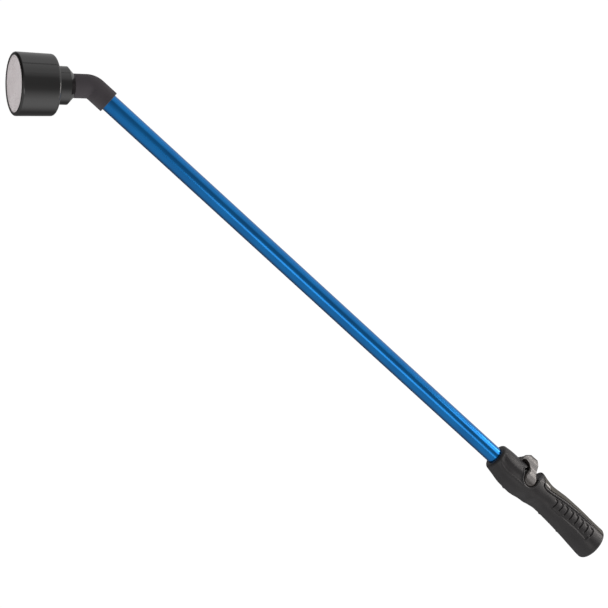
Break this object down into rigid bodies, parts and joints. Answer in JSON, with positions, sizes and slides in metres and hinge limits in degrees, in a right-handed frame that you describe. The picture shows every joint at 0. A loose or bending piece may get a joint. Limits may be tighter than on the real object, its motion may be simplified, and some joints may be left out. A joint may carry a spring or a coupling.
{
  "type": "watering wand",
  "caption": "Long-reach garden watering wand: hose inlet in a moulded grip, thumb-operated shut-off valve, straight tube, angled elbow and a round shower head.",
  "frame": {"origin": "centre of the hose inlet's mouth, in the rear end face of the grip", "axes": "+X out of the inlet along the tube's axis, +Y towards the thumb lever's side, +Z square to the plane the wand bends in (also the thumb lever's pivot axis)"},
  "size_m": [0.8246, 0.1056, 0.0634],
  "materials": {
    "blue_anodised": "anodised, satin gloss",
    "gloss_black": "moulded, glossy",
    "face_grey": "moulded, satin",
    "elbow_plastic": "moulded, matte",
    "handle_plastic": "moulded, satin",
    "soft_pad": "fine grained",
    "lever_plastic": "moulded, satin",
    "valve_plastic": "moulded",
    "rotor_plastic": "acetal",
    "seal_rubber": "smooth",
    "washer_rubber": "smooth",
    "screw_steel": "zinc plated"
  },
  "bodies": {
    "wand": {"tube": "blue_anodised", "breaker_shell": "gloss_black", "breaker_neck": "gloss_black", "breaker_face": "face_grey", "face_gasket": "seal_rubber", "spacer_sleeve": "valve_plastic", "diffuser_plate": "rotor_plastic", "breaker_washer": "washer_rubber", "elbow": "elbow_plastic", "elbow_seal": "seal_rubber", "handle_shell_near": "handle_plastic", "handle_shell_far": "handle_plastic", "handle_screws": "screw_steel", "top_grip": "soft_pad", "valve_body": "valve_plastic", "valve_seat": "seal_rubber", "rotor_cap": "valve_plastic", "tube_seals": "seal_rubber", "tube_lock_pin": "screw_steel", "supply_tube": "valve_plastic", "supply_seals": "seal_rubber", "inlet_socket": "valve_plastic", "inlet_washer": "washer_rubber"},
    "lever_set": {"thumb_lever": "lever_plastic", "lever_screw": "screw_steel", "valve_rotor": "rotor_plastic", "rotor_seals": "seal_rubber"}
  },
  "joints": [
    {"name": "lever_swing", "type": "hinge", "parent": "wand", "child": "lever_set", "pos_m": [-0.1118, 0, 0], "axis": [0, 0, 1], "range_deg": [-28, 0]}
  ]
}
